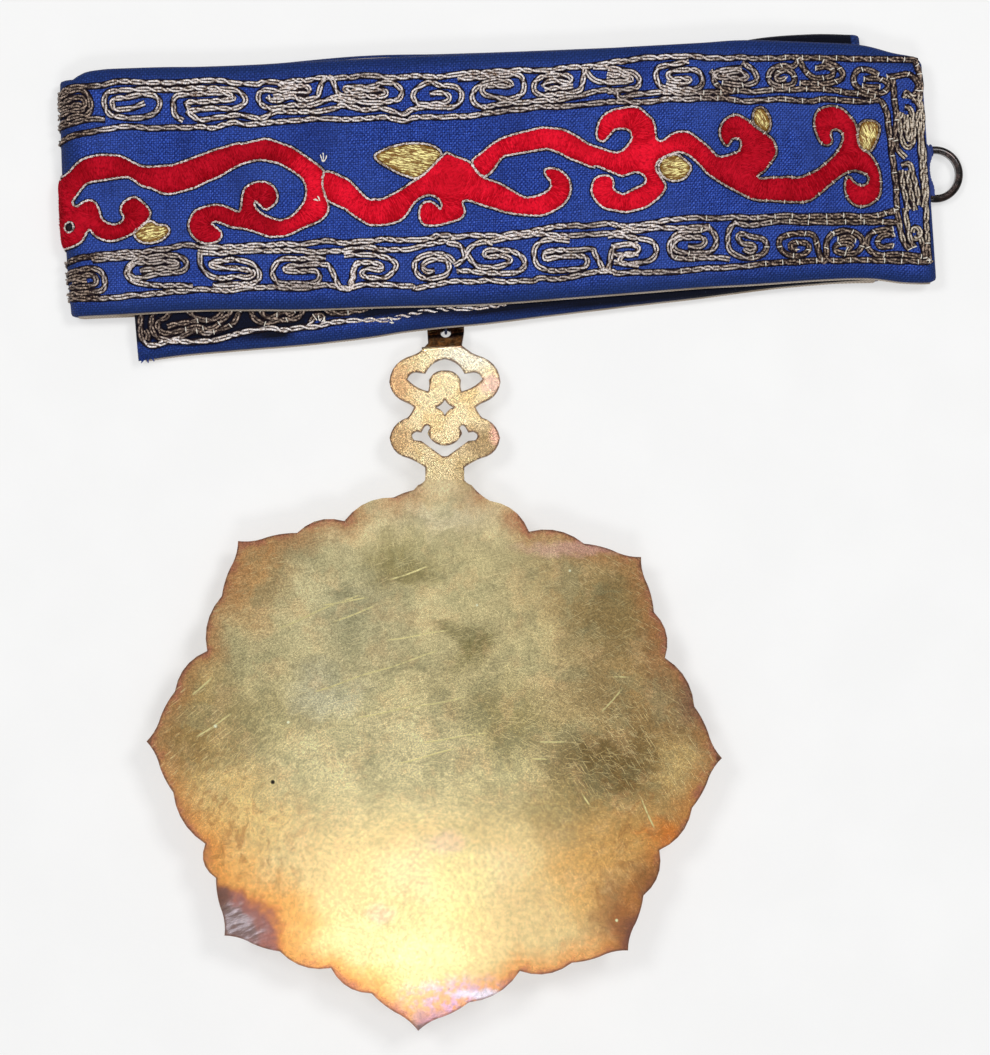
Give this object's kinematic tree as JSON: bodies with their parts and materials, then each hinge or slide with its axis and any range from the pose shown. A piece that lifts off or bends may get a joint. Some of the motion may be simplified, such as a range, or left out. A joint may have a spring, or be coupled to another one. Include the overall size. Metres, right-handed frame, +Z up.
{
  "type": "order badge on a folded neckband",
  "caption": "Lobed star badge lying back up, with a pierced hanger, under a folded embroidered neckband that ends in a small ring.",
  "frame": {"origin": "centre of the bounding box on the table that the badge and band lie on", "axes": "+Z up from the table, +Y from the badge towards the band, +X to the ring end of the band"},
  "size_m": [0.1662, 0.1825, 0.0103],
  "materials": {
    "gilt_brass": "tarnished and scratched gilt",
    "blue_cloth": "fine weave under couched metal thread",
    "fawn_lining": "plain weave",
    "dark_ring": "dark, worn",
    "hook_wire": "dull wire",
    "navy_thread": "twisted thread"
  },
  "bodies": {
    "root": {"badge": "gilt_brass", "neckband": "blue_cloth", "band_lining": "fawn_lining", "closing_ring": "dark_ring", "closing_hook": "hook_wire", "badge_loop": "navy_thread"}
  },
  "joints": []
}
